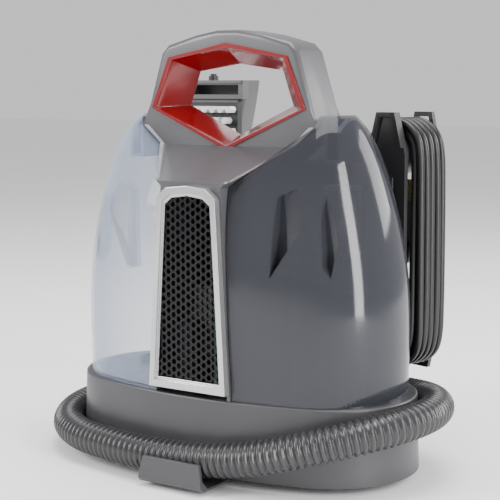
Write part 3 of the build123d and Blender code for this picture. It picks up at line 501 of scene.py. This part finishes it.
# ------------------------------------------------------------------ hose
@dataclass
class SuctionHose:
    """Ribbed suction hose from the port, round the base, up to the tool."""

    width: float = 28.0
    rib_pitch: float = 5.9
    rib_depth: float = 2.3
    around: int = 28
    steps_per_rib: int = 8
    plain_end: float = 9.0
    route: List[Point] = field(default_factory=lambda: [
        (-0.8, 103.75, 48.0), (59.5, 100.05, 48.5), (109.0, 89.45, 51.0), (146.1, 67.55, 54.5),
        (170.7, 26.65, 57.5), (171.5, -21.05, 57.5), (148.3, -62.85, 52.0), (109.0, -86.95, 41.0),
        (66.6, -96.45, 29.0), (21.2, -101.35, 22.5), (-28.2, -100.95, 20.5), (-76.9, -94.55, 20.5),
        (-112.0, -85.85, 20.5), (-148.3, -62.85, 21.5), (-171.5, -21.05, 24.0), (-170.6, 26.65, 27.0),
        (-151.0, 62.25, 34.0), (-124.0, 85.75, 53.0), (-103.0, 93.75, 80.0), (-92.0, 95.25, 112.0),
        (-92.0, 95.25, 143.5),
    ])

    def centreline(self) -> np.ndarray:
        """Points of the route's smooth line, closely spaced."""
        line = smooth_line("hose_route", self.route, 24)
        pts = spline_points(line)
        bpy.data.objects.remove(line)
        return pts

    def frames(self, pts: np.ndarray) -> Tuple[np.ndarray, np.ndarray]:
        """Two directions across the line at each point, worked out for all points together.

        The first is the level direction away from the machine's middle, less its share along
        the line. The second is square to it and to the line.

        Args:
            pts: points of the line.

        Returns:
            Arrays of the first and second cross directions.
        """
        tang = np.gradient(pts, axis=0)
        tang /= np.linalg.norm(tang, axis=1)[:, None]
        away = pts * (1.0, 1.0, 0.0)
        away -= (away * tang).sum(axis=1)[:, None] * tang
        away /= np.linalg.norm(away, axis=1)[:, None]
        return away, np.cross(tang, away)

    def build(self) -> bpy.types.Object:
        """Carry a ribbed circle along the centreline.

        The radius at distance s is the outer radius less the rib depth times a flattened
        wave of period rib_pitch, faded out over the plain ends.

        Returns:
            The hose.
        """
        line = self.centreline()
        steps = np.linalg.norm(np.diff(line, axis=0), axis=1)
        dist = np.concatenate([[0.0], np.cumsum(steps)])
        total = dist[-1]
        count = int(total / (self.rib_pitch * MM) * self.steps_per_rib)
        s = np.linspace(0, total, count)
        pts = np.stack([np.interp(s, dist, line[:, k]) for k in range(3)], -1)
        side, up = self.frames(pts)
        wave = 0.5 - 0.5 * np.cos(2 * np.pi * s / (self.rib_pitch * MM))
        fade = np.clip(np.minimum(s, total - s) / (self.plain_end * MM) - 1.0, 0, 1)
        radius = (self.width / 2 - self.rib_depth * wave**1.5 * fade) * MM
        a = np.linspace(0, 2 * np.pi, self.around, endpoint=False)
        ring = np.cos(a)[None, :, None] * side[:, None] + np.sin(a)[None, :, None] * up[:, None]
        verts = (pts[:, None] + radius[:, None, None] * ring).reshape(-1, 3)
        quads = grid_faces(count, self.around, True).tolist()
        caps = [list(range(self.around))[::-1], [(count - 1) * self.around + i for i in range(self.around)]]
        hose = new_piece("suction_hose", verts, quads + caps, "hose_grey")
        hose.data.shade_smooth()
        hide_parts("hose")
        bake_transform(hose)
        log.info("hose %.3f m", total)
        return hose


# ------------------------------------------------------------------ mains cord
@dataclass
class MainsCord:
    """Power cord wound round the two hooks, ending in its plug inside the winding."""

    thick: float = 6.5
    foot: Point = (106.0, 59.75, 0.0)
    turn: float = 75.0
    top: float = 260.0
    bottom: float = 109.0
    outer: float = 27.75
    inner: float = 21.2
    first: float = 4.2
    last: float = 37.2
    turns: int = 5
    gland: Point = (68.0, 68.25, 134.0)
    gland_dir: Point = (11.0, 4.0, 22.0)
    plug_low: float = 167.0

    def place(self, along: float, side: float, z: float) -> Point:
        """Point at a distance along the wrap, a distance sideways and a height, in millimetres."""
        a = math.radians(self.turn)
        x = self.foot[0] + along * math.cos(a) + side * math.sin(a)
        y = self.foot[1] + along * math.sin(a) - side * math.cos(a)
        return (x, y, z)

    def lap(self, reach: float, begin: float, finish: float, swell: float) -> List[Point]:
        """One turn round both hooks, from the foot of the left run up and over.

        Args:
            reach: half width of the turn.
            begin: place along the wrap at the start.
            finish: place along the wrap at the end.
            swell: extra half width half way down the right run.

        Returns:
            Sixteen control points.
        """
        pts = []
        for z in (self.bottom + 30, self.top - 40):
            pts.append((-reach, z))
        for k in range(6):
            a = math.radians(180 - 15 - 30 * k)
            pts.append((reach * 1.03 * math.cos(a), self.top + reach * 1.03 * math.sin(a)))
        for z in (self.top - 40, (self.top + self.bottom) / 2, self.bottom + 30):
            pts.append((reach + swell, z))
        for k in range(5):
            a = math.radians(-18 - 36 * k)
            pts.append((reach * 1.04 * math.cos(a), self.bottom + reach * 1.04 * math.sin(a)))
        count = len(pts)
        return [self.place(begin + (finish - begin) * i / count, h, z) for i, (h, z) in enumerate(pts)]

    def route(self) -> List[Point]:
        """Control points from the gland, through both layers, to the plug."""
        d = Vector(self.gland_dir).normalized()
        g = Vector(self.gland)
        pts: List[Point] = [tuple(g - d * 6), tuple(g + d * 8), tuple(g + d * 20)]
        step = (self.last - self.first) / self.turns
        for i in range(self.turns):
            begin = self.first + i * step
            swell = (0.2, 1.0, 0.4, 1.3, 0.7)[i % 5]
            lap = self.lap(self.outer, begin, begin + step, swell)
            pts += lap[1:] if i == 0 else lap
        for i in range(self.turns):
            begin = self.last - i * step
            pts += self.lap(self.inner, begin, begin - step, 0.0)
        mid = (self.first + self.last) / 2
        pts.append(self.place(self.first + 1, -self.inner, self.bottom + 8))
        pts.append(self.place(self.first + 5, -15.5, self.bottom + 26))
        pts.append(self.place(mid - 3, -3.5, self.plug_low - 16))
        pts.append(self.place(mid - 0.3, 0.0, self.plug_low + 2))
        return pts

    def build(self) -> bpy.types.Object:
        """Draw the cord as one smooth line with a round section.

        Returns:
            The cord.
        """
        cord = smooth_line("mains_cord", self.route(), 8)
        pts = spline_points(cord)
        cord.data.bevel_depth = self.thick / 2 * MM
        cord.data.bevel_resolution = 4
        cord.data.use_fill_caps = True
        cord.data.materials.append(finish_of("cord_black"))
        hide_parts("cord_winding", "cord_lead")
        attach(cord, MACHINE)
        log.info("mains cord %.2f m", run_length(pts))
        return cord


# ------------------------------------------------------------------ grille
@dataclass
class HoneycombGrille:
    """Black net of raised six-sided rings behind the bright frame."""

    pitch_x: float = 4.9
    pitch_z: float = 6.4
    ring_out: float = 3.35
    ring_in: float = 2.15
    depth: float = 2.2
    slant: float = 0.35
    inner_slant: float = 0.3
    edge: float = 1.6
    side_edge: float = 2.0
    cap_height: float = 8.0
    cap_share: float = 0.745
    top_share: float = 0.55
    tallest: float = 1.12

    def build(self) -> bpy.types.Object:
        """Repeat one chamfered hexagon ring over the frame's opening.

        A ring is four hexagons joined in order: back outer, front outer drawn in a little,
        front inner and back inner. Its centre steps by pitch_x, and every other column is
        half a pitch_z higher.

        Returns:
            The net.
        """
        low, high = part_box("grille_mesh")
        low, high = np.array(low) / MM, np.array(high) / MM
        mid_z = (low[2] + high[2]) / 2
        cols = np.arange(-7, 8)
        rows = np.arange(-14, 15)
        cx, cz = np.meshgrid(cols * self.pitch_x, rows * self.pitch_z + mid_z, indexing="ij")
        cz = cz + (np.abs(cols) % 2)[:, None] * self.pitch_z / 2
        heights = [low[2], high[2] - self.cap_height, high[2]]
        widths = [high[0] - self.side_edge, high[0] * self.cap_share - 0.6, high[0] * self.top_share - 0.6]
        half = np.interp(cz, heights, widths)
        keep = (np.abs(cx) < half) & (cz > low[2] + self.edge) & (cz < high[2] - self.edge)
        cx, cz = cx[keep], cz[keep]
        a = np.radians(60 * np.arange(6))
        front_out, front_in = self.ring_out - self.slant, self.ring_in + self.inner_slant
        radii = np.array([self.ring_out, front_out, front_in, self.ring_in])
        back = high[1] + 0.2
        deep = np.array([back, back - self.depth, back - self.depth, back])
        stretch = min(self.pitch_z / (self.pitch_x * 2 / math.sqrt(3)), self.tallest)
        x = cx[:, None, None] + radii[None, :, None] * np.cos(a)[None, None, :]
        z = cz[:, None, None] + radii[None, :, None] * np.sin(a)[None, None, :] * stretch
        y = np.broadcast_to(deep[None, :, None], x.shape)
        verts = np.stack([x, y, z], -1).reshape(-1, 3) * MM
        i = np.arange(6)
        j = (i + 1) % 6
        bands = []
        for p, q in ((0, 1), (1, 2), (2, 3), (3, 0)):
            bands.append(np.stack([p * 6 + i, p * 6 + j, q * 6 + j, q * 6 + i], -1))
        one = np.concatenate(bands)
        faces = (one[None] + 24 * np.arange(len(cx))[:, None, None]).reshape(-1, 4)
        net = new_piece("grille_net", verts, faces.tolist(), "mesh_black")
        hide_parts("grille_mesh")
        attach(net, MACHINE)
        log.info("grille net of %d rings", len(cx))
        return net


# ------------------------------------------------------------------ mouldings
@dataclass
class Mouldings:
    """CAD nodes that keep their shape but get rounded edges."""

    rounded: List[Tuple[str, Edge, str]] = field(default_factory=lambda: [
        ("housing_front", Edge.ROUND, MACHINE), ("housing_rear", Edge.ROUND, MACHINE),
        ("base_tub", Edge.CRISP, MACHINE), ("hose_hook", Edge.CRISP, MACHINE),
        ("handle_liner_front", Edge.CRISP, MACHINE), ("handle_liner_rear", Edge.CRISP, MACHINE),
        ("grille_frame", Edge.CRISP, MACHINE), ("cord_wrap_frame", Edge.CRISP, MACHINE),
        ("cord_hook", Edge.CRISP, "cord_hook_body"), ("tool_head", Edge.CRISP, TOOL),
        ("tool_grip", Edge.CRISP, TOOL), ("trigger", Edge.CRISP, "trigger_body"),
        ("tool_cradle", Edge.CRISP, MACHINE), ("hose_port", Edge.CRISP, MACHINE),
    ])

    def build(self) -> None:
        """Round the listed nodes and give every other node its finish."""
        done = set()
        for node, edge, body in self.rounded:
            softened(node, edge, body)
            done.add(node)
        for name, obj in frame["nodes"].items():
            obj.data.materials.clear()
            obj.data.materials.append(finish_of(slot_of(name)))
        log.info("%d nodes rounded", len(done))


def main() -> None:
    """Build the studio, the cords, then the rest of the machine."""
    logging.basicConfig(level=logging.INFO, format="%(name)s: %(message)s")
    Studio().build()
    SuctionHose().build()
    MainsCord().build()
    HoneycombGrille().build()
    Mouldings().build()


if __name__ == "__main__":
    main()
